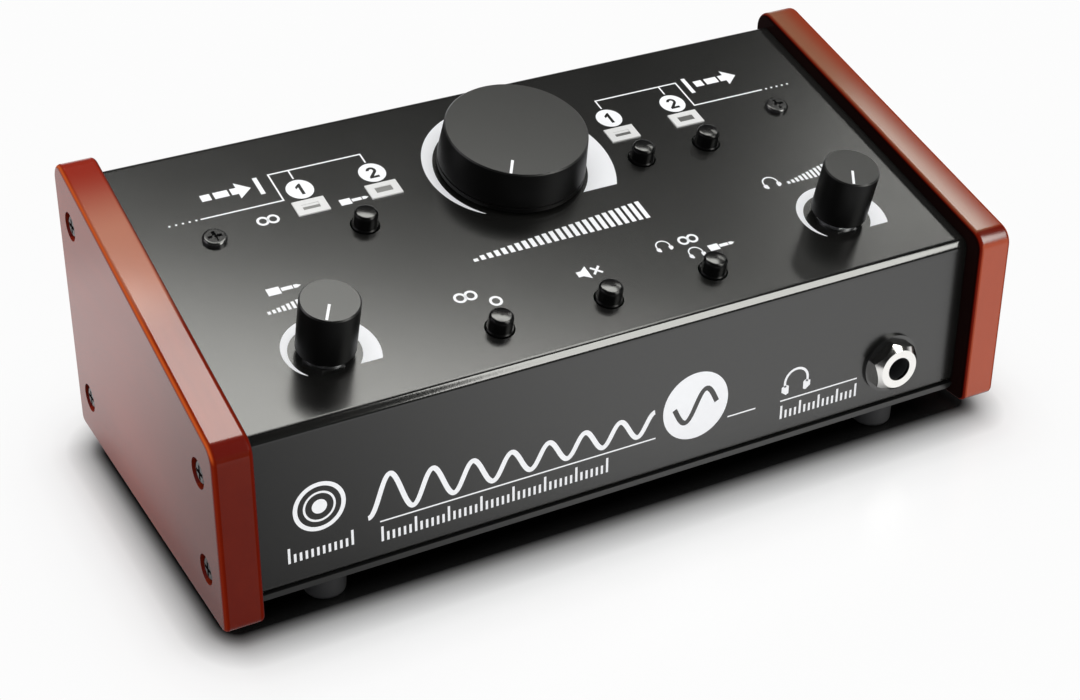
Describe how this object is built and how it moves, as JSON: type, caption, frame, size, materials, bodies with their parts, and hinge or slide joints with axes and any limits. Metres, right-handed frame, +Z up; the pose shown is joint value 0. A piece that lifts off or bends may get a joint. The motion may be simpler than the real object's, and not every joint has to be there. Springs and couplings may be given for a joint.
{
  "type": "studio monitor controller",
  "caption": "Desktop studio monitor controller with a sloped black metal panel, rotary volume knobs, push buttons, a headphone socket and lacquered wooden end cheeks.",
  "frame": {"origin": "on the table under the middle of the end cheeks", "axes": "+X to the user's right along the case, +Y from the front panel to the back, +Z up"},
  "size_m": [0.22, 0.104, 0.0868],
  "materials": {
    "cheek_wood": "gloss-lacquered red-brown wood",
    "case_paint": "fine satin black powder coat",
    "tray_paint": "satin black powder coat",
    "knob_plastic": "matte black",
    "button_plastic": "gloss black",
    "black_steel": "black oxide",
    "zinc_steel": "zinc plated",
    "nickel": "bright nickel",
    "rubber": "matte",
    "window_plastic": "milky white",
    "led": "clear resin",
    "socket_plastic": "moulded black",
    "switch_plastic": "moulded dark grey",
    "plunger_plastic": "moulded white",
    "board": "green circuit board",
    "spring_contact": "tinned brass",
    "pot_metal": "plain",
    "shaft_metal": "turned",
    "ribbon": "grey insulation"
  },
  "bodies": {
    "case": {"aux_jack_body": "socket_plastic", "aux_jack_nut": "nickel", "aux_pot_body": "pot_metal", "board_headers": "socket_plastic", "board_screws": "zinc_steel", "board_spacers": "zinc_steel", "bottom_screws": "black_steel", "bottom_tray": "tray_paint", "cheek_nuts": "zinc_steel", "cheek_screws": "black_steel", "control_board": "board", "cover_screws": "black_steel", "foot_front_left": "rubber", "foot_front_right": "rubber", "foot_nuts": "zinc_steel", "foot_rear_left": "rubber", "foot_rear_right": "rubber", "foot_screws": "black_steel", "indicator_leds": "led", "indicator_windows": "window_plastic", "jack_washers": "black_steel", "left_cheek": "cheek_wood", "lip_nuts": "zinc_steel", "main_pot_body": "pot_metal", "phones_jack_body": "socket_plastic", "phones_jack_nut": "nickel", "phones_pot_body": "pot_metal", "pot_nuts": "zinc_steel", "pot_washers": "zinc_steel", "power_inlet": "socket_plastic", "power_inlet_pin": "nickel", "rear_jack_bodies": "socket_plastic", "rear_jack_nuts": "nickel", "ribbon_cable": "ribbon", "right_cheek": "cheek_wood", "socket_board": "board", "socket_board_standoffs": "zinc_steel", "socket_contacts": "spring_contact", "switch_bodies": "switch_plastic", "top_cover": "case_paint"},
    "main_volume_knob": {"main_knob": "knob_plastic", "main_knob_set_screw": "black_steel", "main_pot_shaft": "shaft_metal"},
    "aux_volume_knob": {"aux_knob": "knob_plastic", "aux_pot_shaft": "shaft_metal"},
    "phones_volume_knob": {"phones_knob": "knob_plastic", "phones_pot_shaft": "shaft_metal"},
    "input_push_button": {"input_button": "button_plastic", "input_plunger": "plunger_plastic"},
    "output_1_push_button": {"output_1_button": "button_plastic", "output_1_plunger": "plunger_plastic"},
    "output_2_push_button": {"output_2_button": "button_plastic", "output_2_plunger": "plunger_plastic"},
    "mono_push_button": {"mono_button": "button_plastic", "mono_plunger": "plunger_plastic"},
    "mute_push_button": {"mute_button": "button_plastic", "mute_plunger": "plunger_plastic"},
    "listen_push_button": {"listen_button": "button_plastic", "listen_plunger": "plunger_plastic"}
  },
  "joints": [
    {"name": "main_volume_turn", "type": "hinge", "parent": "case", "child": "main_volume_knob", "pos_m": [0, 0.01615, 0.06959], "axis": [0, 0.2703, -0.9628], "range_deg": [0, 300]},
    {"name": "aux_volume_turn", "type": "hinge", "parent": "case", "child": "aux_volume_knob", "pos_m": [-0.0722, -0.02774, 0.05726], "axis": [0, 0.2703, -0.9628], "range_deg": [0, 300]},
    {"name": "phones_volume_turn", "type": "hinge", "parent": "case", "child": "phones_volume_knob", "pos_m": [0.0722, -0.02774, 0.05726], "axis": [0, 0.2703, -0.9628], "range_deg": [0, 300]},
    {"name": "input_press", "type": "slide", "parent": "case", "child": "input_push_button", "axis": [0, 0.2703, -0.9628], "range_m": [0, 0.0025], "stiffness_N_per_m": 600},
    {"name": "output_1_press", "type": "slide", "parent": "case", "child": "output_1_push_button", "axis": [0, 0.2703, -0.9628], "range_m": [0, 0.0025], "stiffness_N_per_m": 600},
    {"name": "output_2_press", "type": "slide", "parent": "case", "child": "output_2_push_button", "axis": [0, 0.2703, -0.9628], "range_m": [0, 0.0025], "stiffness_N_per_m": 600},
    {"name": "mono_press", "type": "slide", "parent": "case", "child": "mono_push_button", "axis": [0, 0.2703, -0.9628], "range_m": [0, 0.0025], "stiffness_N_per_m": 600},
    {"name": "mute_press", "type": "slide", "parent": "case", "child": "mute_push_button", "axis": [0, 0.2703, -0.9628], "range_m": [0, 0.0025], "stiffness_N_per_m": 600},
    {"name": "listen_press", "type": "slide", "parent": "case", "child": "listen_push_button", "axis": [0, 0.2703, -0.9628], "range_m": [0, 0.0025], "stiffness_N_per_m": 600}
  ]
}
